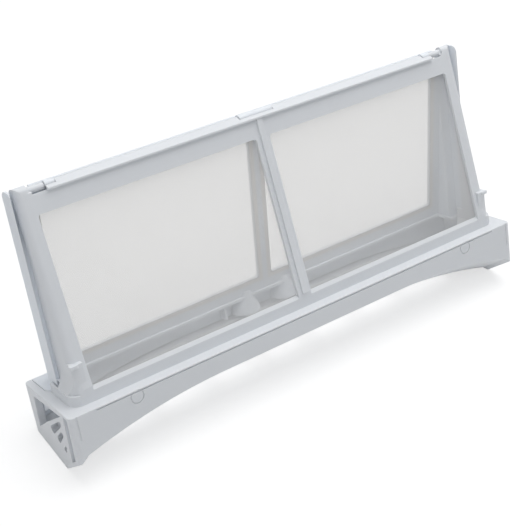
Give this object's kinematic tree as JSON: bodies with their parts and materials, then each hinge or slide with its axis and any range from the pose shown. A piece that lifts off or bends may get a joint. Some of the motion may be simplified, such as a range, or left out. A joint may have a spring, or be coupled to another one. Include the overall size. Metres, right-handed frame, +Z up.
{
  "type": "tumble dryer lint filter",
  "caption": "Wedge-shaped tumble dryer lint filter: two hinged plastic frames with fine mesh windows and a hollow arched rim that serves as the handle.",
  "frame": {"origin": "on the surface it stands on, under the middle of its bounding box", "axes": "+X along the rim, +Y from the front frame to the rear frame, +Z up with the filter standing on the rear facets of the rim's feet"},
  "size_m": [0.37, 0.0852, 0.1723],
  "materials": {
    "shell": "satin",
    "screen": "fine weave"
  },
  "bodies": {
    "front": {"front_shell": "shell", "front_mesh_left": "screen", "front_mesh_right": "screen"},
    "rear": {"rear_shell": "shell", "rear_mesh_left": "screen", "rear_mesh_right": "screen"}
  },
  "joints": [
    {"name": "rear_swing", "type": "hinge", "parent": "front", "child": "rear", "pos_m": [0, 0.03447, 0.16864], "axis": [1, 0, 0], "range_deg": [0, 100]}
  ]
}
